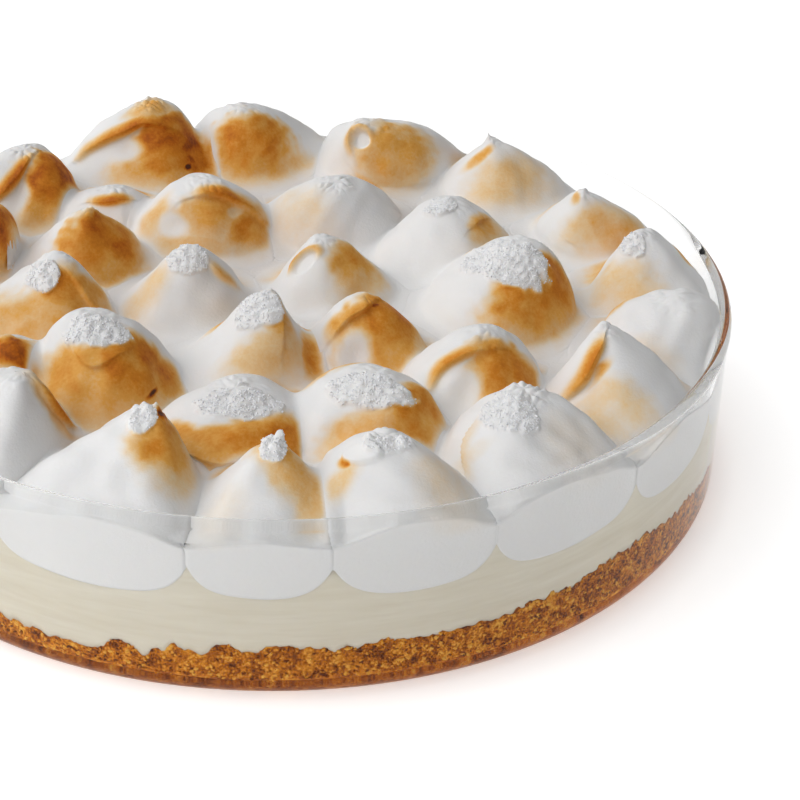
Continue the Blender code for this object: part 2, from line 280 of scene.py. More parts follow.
# Sugar left on the crests, in rough white patches.
Sugar = namedtuple("Sugar", "kiss bearing rise wide high turn")
SUGARS = [
    Sugar(7, -140, 0.90, 4, 4, 0),
    Sugar(10, -122, 0.90, 9, 6, 0),
    Sugar(11, -80, 0.97, 6, 2.4, 0),
    Sugar(12, -110, 0.95, 3, 4, 0),
    Sugar(13, -110, 0.94, 3.0, 3.4, 0),
    Sugar(16, -60, 0.95, 5, 4, 0),
    Sugar(21, -150, 0.94, 5, 5, 0),
    Sugar(22, -122, 0.94, 13, 8, 0),
    Sugar(23, -120, 0.90, 6, 4.5, 0),
    Sugar(24, -90, 0.93, 8.5, 5, 0),
    Sugar(26, -88, 0.98, 10.5, 6, 0),
    Sugar(27, -100, 0.93, 11, 6, 0),
    Sugar(30, -100, 0.94, 5.5, 4.5, 0),
    Sugar(32, -120, 0.88, 5.5, 6.5, 0),
]

# Where the meringue folds over itself: a line of bearings and rises, walked so that the lip hangs over its
# right-hand side for a climbing line. lip: how far it stands out. reach: how far it takes to fade.
Fold = namedtuple("Fold", "kiss lip reach toast line")
FOLDS = [
    Fold(1, 1.7, 5, 1.15, ((-118, 0.35), (-110, 0.60), (-100, 0.85), (-60, 0.96))),
    Fold(2, 2.3, 6, 1.05, ((-166, 0.30), (-134, 0.70), (-102, 0.83), (-60, 0.78))),
    Fold(4, 1.0, 3, 0.50, ((-128, 0.60), (-148, 0.80), (-166, 0.95))),
    Fold(4, 0.8, 3, 0.60, ((-122, 0.38), (-108, 0.20), (-94, 0.04))),
    Fold(6, 0.5, 2, 0.30, ((-128, 0.40), (-118, 0.38), (-108, 0.32))),
    Fold(9, 2.0, 5, 0.90, ((-158, 0.36), (-140, 0.62), (-124, 0.82), (-112, 0.92))),
    Fold(10, 1.2, 5, 0.28, ((-168, 0.72), (-152, 0.45), (-138, 0.22))),
    Fold(14, 1.8, 5, 1.00, ((-10, 0.92), (-2, 0.60), (10, 0.12))),
    Fold(19, 2.0, 6, 1.05, ((-110, 0.90), (-70, 0.94), (-34, 0.84), (-22, 0.44))),
    Fold(21, 1.0, 3, 0.55, ((-60, 0.80), (-34, 0.84), (-10, 0.80))),
    Fold(23, 1.0, 4, 0.60, ((-40, 0.86), (-30, 0.60), (-24, 0.30))),
    Fold(24, 1.0, 3, 0.60, ((-120, 0.78), (-90, 0.70), (-50, 0.76))),
    Fold(25, 1.5, 4, 0.85, ((-140, 0.46), (-140, 0.66), (-120, 0.86), (-80, 0.92))),
    Fold(26, 1.5, 4, 0.0, ((-168, 0.62), (-128, 0.52), (-96, 0.46), (-60, 0.42))),
    Fold(29, 1.4, 4, 1.15, ((-130, 0.80), (-90, 0.86), (-40, 0.84))),
    Fold(30, 1.0, 3, 0.60, ((-36, 0.86), (-28, 0.70), (-16, 0.50))),
    Fold(32, 1.0, 4, 0.65, ((-62, 0.56), (-55, 0.80), (-50, 0.94))),
    Fold(33, 1.6, 5, 0.75, ((-140, 0.56), (-130, 0.80), (-100, 0.92), (-60, 0.96))),
]
# Tips that were drawn off raggedly: how far their crumbs stand up, in millimetres.
CRESTS = {2: 0.7, 5: 0.5, 6: 0.5, 9: 0.4, 10: 0.6, 11: 0.9, 12: 1.2, 13: 1.0}
GROOVE = 0.4
LIP_EDGE = 0.6

# Curls closed on themselves: an oval hollow inside a raised rim, or a raised pad where depth is negative.
Curl = namedtuple("Curl", "kiss bearing rise wide high turn depth rim toast")
CURLS = [
    Curl(4, -128, 0.84, 3.4, 3.0, 0, 1.6, 0.8, 0.45),
    Curl(11, -150, 0.88, 5.5, 2.8, 35, -1.3, 0.0, 0.0),
    Curl(31, -134, 0.74, 2.4, 4.2, -20, 1.0, 0.9, 0.55),
]

CRUMB_COLOURS = ((0.0, (0.10, 0.020, 0.002)), (0.35, (0.44, 0.114, 0.005)), (0.65, (0.74, 0.255, 0.012)),
                 (1.0, (0.96, 0.520, 0.080)))
TOAST_COLOURS = ((0.0, (0.872, 0.865, 0.854)), (0.08, (0.870, 0.802, 0.715)), (0.22, (0.875, 0.642, 0.360)),
                 (0.40, (0.830, 0.425, 0.092)), (0.56, (0.710, 0.258, 0.021)), (0.72, (0.540, 0.140, 0.006)),
                 (0.88, (0.290, 0.064, 0.006)), (1.0, (0.080, 0.023, 0.008)))
TOAST_TOP = 1.5

# The studio: the brightness of the world by how far a direction turns toward BRIGHT_SIDE, and near the
# horizon toward BRIGHT_SKYLINE, and how strongly the table glows as painted light, under the dish, where the
# dimmer glow is a painted shadow, and around it.
BRIGHT_SIDE = (-0.82, -0.10, 0.56)
BRIGHT_SKYLINE = (-0.70, -0.68, 0.22)
SIDES = ((0.28, (0.02, 0.019, 0.018)), (0.66, (0.18, 0.18, 0.185)), (0.92, (1.42, 1.43, 1.45)))
SKYLINE = ((0.15, (0.04, 0.04, 0.04)), (0.50, (0.14, 0.14, 0.14)), (0.80, (0.32, 0.32, 0.33)))
SEEN_WHITE = (0.92, 0.92, 0.92, 1)
# The table's glow is painted light: dimmer under the dish as a painted shadow, full around it, changing
# between two radii given in metres.
PAINTED_SHADOW_GLOW = 0.46
GLOW_AROUND = 0.61
PAINTED_SHADOW_EDGE = (0.118, 0.127)
TABLE_DROP = 0.1


def smooth_step(low, high, value):
    share = np.clip((value - low) / (high - low), 0.0, 1.0)
    return share * share * (3 - 2 * share)


def waves(points, size, seed, count=10):
    """A smooth random field over points in millimetres, about -1 to 1, with lumps of about that size."""
    chance = np.random.default_rng(seed)
    directions = chance.normal(size=(count, 3))
    directions /= np.linalg.norm(directions, axis=1, keepdims=True)
    pitches = chance.uniform(0.7, 1.4, count) * math.pi / size
    starts = chance.uniform(0, math.tau, count)
    total = np.zeros(points.shape[:-1])
    for direction, pitch, start in zip(directions, pitches, starts):
        total += np.sin(points @ direction * pitch + start)
    return total / math.sqrt(count)


def lumps(points, form, seed):
    """Lumps over the points, of a form given as (height, size)."""
    return form[0] * waves(points, form[1], seed)


def arc(middle_r, middle_z, radius, from_degrees, to_degrees, steps):
    """Profile points (distance from the axis, height) along an arc, both ends included."""
    angles = np.radians(np.linspace(from_degrees, to_degrees, steps + 1))
    return [(middle_r + radius * math.cos(a), middle_z + radius * math.sin(a)) for a in angles]


def mesh_object(name, points, faces, finish, smooth=True):
    """An object at the origin whose mesh holds these points, given in millimetres."""
    mesh = bpy.data.meshes.new(name)
    mesh.from_pydata((np.asarray(points, float) * MM).tolist(), [], faces)
    mesh.validate()
    if finish is not None:
        mesh.materials.append(finish)
    if smooth:
        mesh.shade_smooth()
    made = bpy.data.objects.new(name, mesh)
    bpy.context.scene.collection.objects.link(made)
    return made


def add_values(made, name, values):
    attribute = made.data.attributes.new(name, "FLOAT", "POINT")
    attribute.data.foreach_set("value", np.asarray(values, np.float32).ravel())


def stacked_faces(rows, around, closed=True):
    """Faces between rows of points counted anticlockwise, closed by a bottom point and a top point."""
    start = 1 if closed else 0
    faces = []
    for i in range(rows - 1):
        low = start + i * around
        for j in range(around):
            k = (j + 1) % around
            faces.append((low + j, low + k, low + around + k, low + around + j))
    last_row = start + (rows - 1) * around
    for j in range(around if closed else 0):
        k = (j + 1) % around
        faces.append((0, start + k, start + j))
        faces.append((last_row + around, last_row + j, last_row + k))
    return faces


# Materials

def add_node(tree, kind, inputs=None, **settings):
    """A node with its settings made. Its inputs, by name or place, are sockets to link or plain values."""
    made = tree.nodes.new(kind)
    for name, value in settings.items():
        setattr(made, name, value)
    for name, value in (inputs or {}).items():
        if isinstance(value, bpy.types.NodeSocket):
            tree.links.new(value, made.inputs[name])
        else:
            made.inputs[name].default_value = value
    return made


def maths(tree, operation, first, second=None, kind="ShaderNodeMath"):
    """The result of a math or vector math node."""
    inputs = {0: first} if second is None else {0: first, 1: second}
    return add_node(tree, kind, inputs, operation=operation).outputs[0]


def add_sockets(group, in_out, sockets):
    """The group's sockets on one side, given as (name, kind, value)."""
    for name, kind, value in sockets:
        made = group.interface.new_socket(name, in_out=in_out, socket_type="NodeSocket" + kind)
        if value is not None:
            made.default_value = value


def new_material(name):
    made = bpy.data.materials.new(name)
    made.use_nodes = True
    made.node_tree.nodes.clear()
    return made, made.node_tree


def principled_finish(tree, inputs):
    shader = add_node(tree, "ShaderNodeBsdfPrincipled", inputs)
    add_node(tree, "ShaderNodeOutputMaterial", {"Surface": shader.outputs["BSDF"]})


def ramp(tree, level, stops):
    """The colour at a level, between stops given as (place, colour)."""
    made = add_node(tree, "ShaderNodeValToRGB", {"Fac": level})
    elements = made.color_ramp.elements
    while len(elements) > 1:
        elements.remove(elements[-1])
    elements[0].position = stops[0][0]
    elements[0].color = (*stops[0][1], 1)
    for position, colour in stops[1:]:
        elements.new(position).color = (*colour, 1)
    return made.outputs["Color"]


def grain_group():
    """Two sizes of mottling, used by everything baked, whipped or pressed. Sizes are lumps per metre."""
    group = bpy.data.node_groups.new("grain", "ShaderNodeTree")
    add_sockets(group, "INPUT", (("Vector", "Vector", None), ("Coarse", "Float", 150.0),
                                 ("Fine", "Float", 900.0), ("Fine share", "Float", 0.4)))
    add_sockets(group, "OUTPUT", (("Mottle", "Float", None), ("Height", "Float", None)))
    given = add_node(group, "NodeGroupInput").outputs
    coarse, fine = [
        add_node(group, "ShaderNodeTexNoise", {
            "Vector": given["Vector"], "Scale": given[scale], "Detail": detail, "Roughness": 0.6,
        }).outputs["Fac"]
        for scale, detail in (("Coarse", 3.0), ("Fine", 2.0))]
    blend = add_node(group, "ShaderNodeMix", {"Factor": given["Fine share"], "A": coarse, "B": fine})
    add_node(group, "NodeGroupOutput", {"Mottle": blend.outputs["Result"], "Height": fine})
    return group


GRAIN = grain_group()


def add_grain(tree, coarse, fine, fine_share, vector=None):
    if vector is None:
        vector = add_node(tree, "ShaderNodeTexCoord").outputs["Object"]
    inputs = {"Vector": vector, "Coarse": coarse, "Fine": fine, "Fine share": fine_share}
    return add_node(tree, "ShaderNodeGroup", inputs, node_tree=GRAIN).outputs


def add_bump(tree, height, strength, distance):
    inputs = {"Height": height, "Strength": strength, "Distance": distance}
    return add_node(tree, "ShaderNodeBump", inputs).outputs["Normal"]


def glass_material():
    """Clear glass that lets light through without shadow, as a thin clean wall does."""
    made, tree = new_material("clear_glass")
    shader = add_node(tree, "ShaderNodeBsdfPrincipled", {
        "Base Color": (0.935, 0.940, 0.938, 1),
        "Roughness": 0.0,
        "IOR": 1.2,
        "Transmission Weight": 1.0,
    })
    mix = add_node(tree, "ShaderNodeMixShader", {
        "Fac": add_node(tree, "ShaderNodeLightPath").outputs["Is Shadow Ray"],
        1: shader.outputs["BSDF"],
        2: add_node(tree, "ShaderNodeBsdfTransparent").outputs["BSDF"],
    })
    add_node(tree, "ShaderNodeOutputMaterial", {"Surface": mix.outputs["Shader"]})
    return made


def meringue_material():
    """Whipped white that browns with the toast attribute, mottled where the flame took."""
    made, tree = new_material("toasted_meringue")
    toast = add_node(tree, "ShaderNodeAttribute", attribute_name="toast").outputs["Fac"]
    grain = add_grain(tree, coarse=170.0, fine=1100.0, fine_share=0.45)
    centred = maths(tree, "SUBTRACT", grain["Mottle"], 0.5)
    spread = maths(tree, "ADD", maths(tree, "MULTIPLY", toast, 0.9), 0.04)
    level = maths(tree, "ADD", toast, maths(tree, "MULTIPLY", centred, spread))
    principled_finish(tree, {
        "Base Color": ramp(tree, maths(tree, "DIVIDE", level, TOAST_TOP), TOAST_COLOURS),
        "Roughness": 0.62,
        "Specular IOR Level": 0.2,
        "Subsurface Weight": 0.12,
        "Subsurface Radius": (1.0, 0.8, 0.6),
        "Subsurface Scale": 0.0025,
        "Normal": add_bump(tree, grain["Height"], 0.25, 0.0004),
    })
    return made


def sugar_material():
    made, tree = new_material("sugar_crust")
    grain = add_grain(tree, coarse=400.0, fine=2500.0, fine_share=0.5)
    colours = ((0.2, (0.82, 0.83, 0.85)), (0.7, (0.93, 0.93, 0.94)))
    principled_finish(tree, {"Base Color": ramp(tree, grain["Mottle"], colours), "Roughness": 0.6})
    return made


def crumb_material():
    """Baked biscuit crumb: each crumb has its own tone, and is grainy in itself."""
    made, tree = new_material("baked_crumb")
    tone = add_node(tree, "ShaderNodeAttribute", attribute_name="tone").outputs["Fac"]
    grain = add_grain(tree, coarse=420.0, fine=1700.0, fine_share=0.55)
    centred = maths(tree, "SUBTRACT", grain["Mottle"], 0.5)
    level = maths(tree, "ADD", tone, maths(tree, "MULTIPLY", centred, 3.0))
    principled_finish(tree, {
        "Base Color": ramp(tree, level, CRUMB_COLOURS),
        "Roughness": 0.75,
        "Specular IOR Level": 0.12,
        "Normal": add_bump(tree, grain["Height"], 0.6, 0.0006),
    })
    return made


def filling_material():
    """Smooth pale cream with faint level smears where it was spread against the glass."""
    made, tree = new_material("lemon_cream")
    place = add_node(tree, "ShaderNodeTexCoord").outputs["Object"]
    smears = add_node(tree, "ShaderNodeMapping", {"Vector": place, "Scale": (1.0, 1.0, 9.0)})
    grain = add_grain(tree, coarse=28.0, fine=90.0, fine_share=0.35, vector=smears.outputs["Vector"])
    colours = ((0.3, (0.720, 0.655, 0.515)), (0.7, (0.825, 0.775, 0.650)))
    principled_finish(tree, {
        "Base Color": ramp(tree, grain["Mottle"], colours),
        "Roughness": 0.4,
        "Subsurface Weight": 0.15,
        "Subsurface Radius": (1.0, 0.8, 0.5),
        "Subsurface Scale": 0.003,
        "Normal": add_bump(tree, grain["Height"], 0.2, 0.0005),
    })
    return made


def floor_material():
    """A white table whose surface glows as painted light, so that the ground stays bright and lights the pie
    from below; the glow is dimmer under the dish as a painted shadow.
    """
    made, tree = new_material("white_table_painted_glow")
    place = add_node(tree, "ShaderNodeTexCoord").outputs["Object"]
    away = add_node(tree, "ShaderNodeVectorMath", {0: place}, operation="LENGTH").outputs["Value"]
    # Painted light: the table's own glow, dimmed under the dish as a painted shadow.
    glow = add_node(tree, "ShaderNodeMapRange", {
        "Value": away,
        "From Min": PAINTED_SHADOW_EDGE[0],
        "From Max": PAINTED_SHADOW_EDGE[1],
        "To Min": PAINTED_SHADOW_GLOW,
        "To Max": GLOW_AROUND,
    })
    principled_finish(tree, {
        "Base Color": (0.90, 0.90, 0.90, 1),
        "Roughness": 0.9,
        "Specular IOR Level": 0.1,
        "Emission Color": (1.0, 0.995, 0.99, 1),
        "Emission Strength": glow.outputs["Result"],
    })
    return made


# Geometry Nodes

def new_tree(name, inputs):
    """A geometry tree with a mesh going in and out, and named inputs given as (name, kind, value)."""
    tree = bpy.data.node_groups.new(name, "GeometryNodeTree")
    add_sockets(tree, "INPUT", (("Geometry", "Geometry", None), *inputs, ("Material", "Material", None)))
    add_sockets(tree, "OUTPUT", (("Geometry", "Geometry", None),))
    return tree, add_node(tree, "NodeGroupInput").outputs


def finish_tree(tree, mesh, material):
    painted = add_node(tree, "GeometryNodeSetMaterial", {"Geometry": mesh, "Material": material})
    add_node(tree, "NodeGroupOutput", {0: painted.outputs[0]})
    return tree


def moved(tree, mesh, **places):
    """The mesh with each point at its new Position, or moved by its Offset."""
    return add_node(tree, "GeometryNodeSetPosition", {"Geometry": mesh, **places}).outputs[0]


def run_tree(made, tree, settings):
    """Sets the tree's named inputs, evaluates it on the object and keeps the result as its plain mesh."""
    modifier = made.modifiers.new(tree.name, "NODES")
    modifier.node_group = tree
    identifiers = {item.name: item.identifier for item in tree.interface.items_tree
                   if item.item_type == "SOCKET" and item.in_out == "INPUT"}
    for label, value in settings.items():
        modifier[identifiers[label]] = value
    bpy.context.view_layer.update()
    evaluated = made.evaluated_get(bpy.context.evaluated_depsgraph_get())
    mesh = bpy.data.meshes.new_from_object(evaluated, preserve_all_data_layers=True,
                                           depsgraph=bpy.context.evaluated_depsgraph_get())
    made.modifiers.remove(modifier)
    old = made.data
    made.data = mesh
    mesh.name = made.name
    bpy.data.meshes.remove(old)
    return made


def turning_tree():
    """Turns a profile, a row of points (distance from the axis, height), round the Z axis."""
    tree, given = new_tree("turned_glass", (
        ("Steps round", "Int", 96), ("Profile points", "Int", 8), ("Merge", "Float", 0.00001)))
    sheet = add_node(tree, "GeometryNodeMeshGrid", {
        "Size X": 1.0,
        "Size Y": 1.0,
        "Vertices X": maths(tree, "ADD", given["Steps round"], 1.0),
        "Vertices Y": given["Profile points"],
    })
    place = add_node(tree, "GeometryNodeInputPosition").outputs[0]
    on_sheet = add_node(tree, "ShaderNodeSeparateXYZ", {0: place}).outputs
    turn = maths(tree, "MULTIPLY", maths(tree, "ADD", on_sheet["X"], 0.5), math.tau)
    last = maths(tree, "SUBTRACT", given["Profile points"], 1.0)
    row = maths(tree, "MULTIPLY", maths(tree, "ADD", on_sheet["Y"], 0.5), last)
    sample = add_node(tree, "GeometryNodeSampleIndex", {
        "Geometry": given["Geometry"], "Value": place, "Index": maths(tree, "ROUND", row),
    }, data_type="FLOAT_VECTOR")
    profile = add_node(tree, "ShaderNodeSeparateXYZ", {0: sample.outputs["Value"]}).outputs
    turned = add_node(tree, "ShaderNodeCombineXYZ", {
        "X": maths(tree, "MULTIPLY", profile["X"], maths(tree, "COSINE", turn)),
        "Y": maths(tree, "MULTIPLY", profile["X"], maths(tree, "SINE", turn)),
        "Z": profile["Z"],
    })
    wall = moved(tree, sheet.outputs["Mesh"], Position=turned.outputs[0])
    merge = add_node(tree, "GeometryNodeMergeByDistance", {"Geometry": wall, "Distance": given["Merge"]})
    smooth = add_node(tree, "GeometryNodeSetShadeSmooth", {"Geometry": merge.outputs[0]})
    return finish_tree(tree, smooth.outputs[0], given["Material"])


def chance_value(tree, seed, inputs, kind="FLOAT_VECTOR"):
    """A random value for each point, between Min and Max."""
    made = add_node(tree, "FunctionNodeRandomValue", {"Seed": seed, **inputs}, data_type=kind)
    return made.outputs["Value"]


def scatter_tree():
    """Strews rough little lumps over a face, thicker where its weight attribute is high.

    Each lump gets its own tone, and none reaches further from the axis than Wall.
    """
    tree, given = new_tree("strewn_crumbs", (
        ("Each square metre", "Float", 100000.0), ("Smallest", "Float", 0.0004),
        ("Largest", "Float", 0.001), ("Ragged", "Float", 0.0003), ("Darkest tone", "Float", 0.2),
        ("Wall", "Float", 1.0), ("Seed", "Int", 1)))
    seed = given["Seed"]
    weight = add_node(tree, "GeometryNodeInputNamedAttribute", {"Name": "weight"}, data_type="FLOAT")
    points = add_node(tree, "GeometryNodeDistributePointsOnFaces", {
        "Mesh": given["Geometry"],
        "Density": maths(tree, "MULTIPLY", weight.outputs["Attribute"], given["Each square metre"]),
        "Seed": seed,
    })
    lump = add_node(tree, "GeometryNodeMeshIcoSphere", {"Radius": 0.5, "Subdivisions": 1})
    sizes = {"Min": given["Smallest"], "Max": given["Largest"]}
    strewn = add_node(tree, "GeometryNodeInstanceOnPoints", {
        "Points": points.outputs["Points"],
        "Instance": lump.outputs["Mesh"],
        "Rotation": chance_value(tree, seed, {"Max": (math.tau, math.tau, math.tau)}),
        "Scale": chance_value(tree, maths(tree, "ADD", seed, 7.0), sizes),
    })
    tone = chance_value(tree, maths(tree, "ADD", seed, 19.0), {"Min": given["Darkest tone"]}, "FLOAT")
    toned = add_node(tree, "GeometryNodeStoreNamedAttribute", {
        "Geometry": strewn.outputs["Instances"], "Name": "tone", "Value": tone,
    }, data_type="FLOAT", domain="INSTANCE")
    real = add_node(tree, "GeometryNodeRealizeInstances", {"Geometry": toned.outputs[0]})

    noise = add_node(tree, "ShaderNodeTexNoise", {"Scale": 1400.0, "Detail": 0.0})
    centred = maths(tree, "SUBTRACT", noise.outputs["Color"], (0.5, 0.5, 0.5), "ShaderNodeVectorMath")
    shift = add_node(tree, "ShaderNodeVectorMath", {
        0: centred, "Scale": maths(tree, "MULTIPLY", given["Ragged"], 2.0),
    }, operation="SCALE")
    rough = moved(tree, real.outputs[0], Offset=shift.outputs[0])

    place = add_node(tree, "GeometryNodeInputPosition").outputs[0]
    flat = maths(tree, "MULTIPLY", place, (1, 1, 0), "ShaderNodeVectorMath")
    length = add_node(tree, "ShaderNodeVectorMath", {0: flat}, operation="LENGTH").outputs["Value"]
    held = maths(tree, "MINIMUM", maths(tree, "DIVIDE", given["Wall"], length), 1.0)
    factors = add_node(tree, "ShaderNodeCombineXYZ", {"X": held, "Y": held, "Z": 1.0}).outputs[0]
    pressed = maths(tree, "MULTIPLY", place, factors, "ShaderNodeVectorMath")
    return finish_tree(tree, moved(tree, rough, Position=pressed), given["Material"])


# The dish

def make_dish(finish):
    rim_radius = (WALL + RIM_SWELL) / 2
    rim_middle = DISH_RADIUS + RIM_SWELL - rim_radius
    bead_foot = DISH_HEIGHT - BEAD
    profile = [(0.0, 0.0), (DISH_RADIUS * 0.5, 0.0)]
    profile += arc(DISH_RADIUS - OUTER_CORNER, OUTER_CORNER, OUTER_CORNER, -90, 0, 10)
    profile += [(DISH_RADIUS, bead_foot - 1.2), (DISH_RADIUS, bead_foot - 0.4)]
    profile += [(DISH_RADIUS + 0.6 * RIM_SWELL, bead_foot), (DISH_RADIUS + RIM_SWELL, bead_foot + 0.5)]
    profile += arc(rim_middle, DISH_HEIGHT - rim_radius, rim_radius, 0, 180, 24)
    profile += [(INNER_WALL, bead_foot), (INNER_WALL, bead_foot - 1.2)]
    profile += arc(INNER_WALL - INNER_CORNER, BASE + INNER_CORNER, INNER_CORNER, 0, -90, 8)
    profile += [(DISH_RADIUS * 0.5, BASE), (0.0, BASE)]
    made = mesh_object("dish", [(r, 0.0, z) for r, z in profile], [], None, smooth=False)
    run_tree(made, turning_tree(), {
        "Steps round": DISH_TURNS,
        "Profile points": len(profile),
        "Merge": 0.00001,
        "Material": finish,
    })
    return made


# Crust and filling

def edge_heights(node):
    """Height of a layer's upper edge at the glass, read from its CAD node."""
    points = np.array([v.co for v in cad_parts[node].data.vertices]) / MM
    reach = np.hypot(points[:, 0], points[:, 1])
    rim = points[reach > reach.max() - 0.02]
    bearings = np.round(np.degrees(np.arctan2(rim[:, 1], rim[:, 0])), 2)
    known = np.unique(bearings)
    heights = [rim[bearings == b, 2].max() for b in known]
    wanted = np.degrees(np.linspace(-math.pi, math.pi, SIDE_COUNT, endpoint=False))
    return np.interp(wanted, known, heights, period=360)


def smooth_round(heights):
    """The heights round the dish without the corners between the CAD's straight steps."""
    total = np.zeros(SIDE_COUNT)
    for step in range(-4, 5):
        total += np.roll(heights, step) * (5 - abs(step))
    return total / 25


def ring(radius, height):
    bearings = np.linspace(-math.pi, math.pi, SIDE_COUNT, endpoint=False)
    points = np.empty((SIDE_COUNT, 3))
    points[:, 0] = radius * np.cos(bearings)
    points[:, 1] = radius * np.sin(bearings)
    points[:, 2] = height
    return points


def layer(name, rows, low, high, finish):
    rows = np.array(rows)
    points = np.concatenate([[(0, 0, low)], rows.reshape(-1, 3), [(0, 0, high)]])
    return mesh_object(name, points, stacked_faces(len(rows), SIDE_COUNT), finish)


def crust_top():
    """The crust's edge at the glass, with the lumps and gaps of single crumbs on it."""
    heights = edge_heights("crumb_crust")
    line = ring(FILL_RADIUS, 0.0)
    return heights + lumps(line, EDGE_LUMPS[0], 5) + lumps(line, EDGE_LUMPS[1], 6)


def make_crust(finish):
    foot = BASE - 0.1
    top = crust_top()
    rows = [ring(40, foot), ring(90, foot)]
    corner = arc(INNER_WALL - INNER_CORNER, BASE + INNER_CORNER, INNER_CORNER + INTO_GLASS, -90, 0, 6)
    rows += [ring(r, z) for r, z in corner]
    side_rows = 14
    for i in range(1, side_rows + 1):
        low = BASE + INNER_CORNER
        rows.append(ring(PRESSED_RADIUS, low + (top - low) * i / side_rows))
    rows += [ring(FILL_RADIUS - 2.0, top - 0.3), ring(FILL_RADIUS - 8.0, CRUST_TOP), ring(60.0, CRUST_TOP)]
    made = layer("crust", rows, foot, CRUST_TOP, finish)
    points = np.array([v.co for v in made.data.vertices]) / MM
    add_values(made, "tone", 0.45 + 0.16 * waves(points, 3.0, 15) + 0.12 * waves(points, 1.2, 16))
    return made


def make_crust_crumbs(tree, finish):
    """Loose-looking crumbs pressed on the glass, on a strip that runs along the crust's side."""
    top = crust_top()
    rows = []
    strip_rows = 8
    for i in range(strip_rows + 1):
        low = BASE + 1.2
        height = low + (top - 0.2 - low) * i / strip_rows
        in_corner = np.clip(BASE + INNER_CORNER - height, 0, INNER_CORNER)
        pulled_in = INNER_CORNER - np.sqrt(INNER_CORNER**2 - in_corner**2)
        rows.append(ring(1.0, height))
        rows[-1][:, :2] *= (FILL_RADIUS - 0.1 - pulled_in)[:, None]
    rows = np.array(rows)
    faces = stacked_faces(len(rows), SIDE_COUNT, closed=False)
    strip = mesh_object("crust_crumbs", rows.reshape(-1, 3), faces, None)
    add_values(strip, "weight", np.ones(len(strip.data.vertices)))
    return run_tree(strip, tree, {
        "Each square metre": 950000.0,
        "Smallest": 0.0005,
        "Largest": 0.0016,
        "Ragged": 0.0004,
        "Darkest tone": 0.12,
        "Wall": (FILL_RADIUS + 0.45) * MM,
        "Seed": 3,
        "Material": finish,
    })


def make_filling(finish):
    under = crust_top() - 0.9
    edge = smooth_round(edge_heights("lemon_filling"))
    climb = np.clip((edge - SUNK) / (edge.max() - SUNK), 0, 1)
    top = SUNK + (edge.max() - SUNK) * climb**WEDGE + FILLING_PRESS
    flat = SUNK - 1.0
    rows = [ring(40, FILLING_FOOT), ring(FILL_RADIUS - 4.0, FILLING_FOOT), ring(FILL_RADIUS - 0.3, under)]
    side_rows = 8
    for i in range(side_rows + 1):
        rows.append(ring(FILL_RADIUS, under + (top - under) * i / side_rows))
    rows += [ring(FILL_RADIUS - 3.0, top - 0.2), ring(FILL_RADIUS - 6.0, flat), ring(60.0, flat)]
    return layer("filling", rows, FILLING_FOOT, flat, finish)


# The kisses

Stand = namedtuple("Stand", "number x y lean_x lean_y top form")


def read_stands():
    """Where each kiss stands and points, from its CAD node, together with its form."""
    stands = []
    for number, form in enumerate(KISS_FORMS, start=1):
        points = np.array([v.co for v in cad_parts[f"meringue_{number:02d}"].data.vertices]) / MM
        foot = points[points[:, 2].argmin()]
        tip = points[points[:, 2].argmax()]
        x = round(foot[0])
        y = round(foot[1])
        stands.append(Stand(number, x, y, tip[0] - x, tip[1] - y, tip[2], form))
    return stands


STANDS = read_stands()


def uneven_radius(stand, bearings):
    chance = random.Random(SHAPE_SEED + int(stand.x * 7 + stand.y * 13))
    first = chance.uniform(0, math.tau)
    second = chance.uniform(0, math.tau)
    wave = np.sin(2 * bearings + first) + 0.7 * np.sin(3 * bearings + second)
    return stand.form.radius * (1 + UNEVEN * wave)


def bare_share(form, rise):
    """Radius as a share of the kiss's own at a rise: a dome mixed with a straight cone."""
    dome = np.sqrt(np.clip(1 - rise**form.blunt, 0, 1))
    return (1 - form.sharp) * dome + form.sharp * (1 - rise)**1.1


def dome_share(form, rise):
    """The same with the skirt that runs out round the foot."""
    return bare_share(form, rise) + SKIRT * np.exp(-((rise / SKIRT_RISE)**2))


def middle_at(stand, rise):
    """The kiss's middle at a rise: it leans, and the last of its tip hooks over."""
    bend = stand.form.hook * np.clip((rise - 0.8) / 0.2, 0, 1)**2
    turned = math.radians(stand.form.hook_at)
    x = stand.x + stand.lean_x * rise**LEAN_CURVE + bend * math.cos(turned)
    y = stand.y + stand.lean_y * rise**LEAN_CURVE + bend * math.sin(turned)
    return x, y


def room(stand, middle_x, middle_y, bearings):
    """How far the kiss can reach along each bearing before it meets a neighbour's side."""
    across = np.cos(bearings)
    along = np.sin(bearings)
    reach = np.full(np.broadcast(middle_x, bearings).shape, FAR)
    for other in STANDS:
        away_x = other.x - stand.x
        away_y = other.y - stand.y
        distance = math.hypot(away_x, away_y)
        if other is stand or distance > stand.form.radius + other.form.radius + 14:
            continue
        away_x /= distance
        away_y /= distance
        facing = across * away_x + along * away_y
        border = (distance**2 + stand.form.radius**2 - other.form.radius**2) / (2 * distance)
        gone = (middle_x - stand.x) * away_x + (middle_y - stand.y) * away_y
        limit = np.maximum(border - gone, 0.5) / np.maximum(facing, 0.02)
        reach = np.where(facing > 0.02, np.minimum(reach, limit), reach)
    return reach


def glass_room(middle_x, middle_y, bearings):
    forward = middle_x * np.cos(bearings) + middle_y * np.sin(bearings)
    inside = forward**2 - middle_x**2 - middle_y**2 + PRESSED_RADIUS**2
    return np.sqrt(np.maximum(inside, 0.0)) - forward


def widened(stand, radius, bearings):
    """The radius along each bearing, wider toward the corners between the glass and the neighbours."""
    spare = glass_room(stand.x, stand.y, bearings) - room(stand, stand.x, stand.y, bearings)
    corners = np.flatnonzero((spare < 0) != (np.roll(spare, 1) < 0))
    wider = radius.copy()
    for j in corners:
        wanted = CORNER_REACH * glass_room(stand.x, stand.y, bearings[j]) - radius[j]
        away = (np.degrees(bearings - bearings[j]) + 180) % 360 - 180
        wider += np.clip(wanted, 0, WIDENED) * np.exp(-((away / WIDENED_OVER)**2))
    return wider


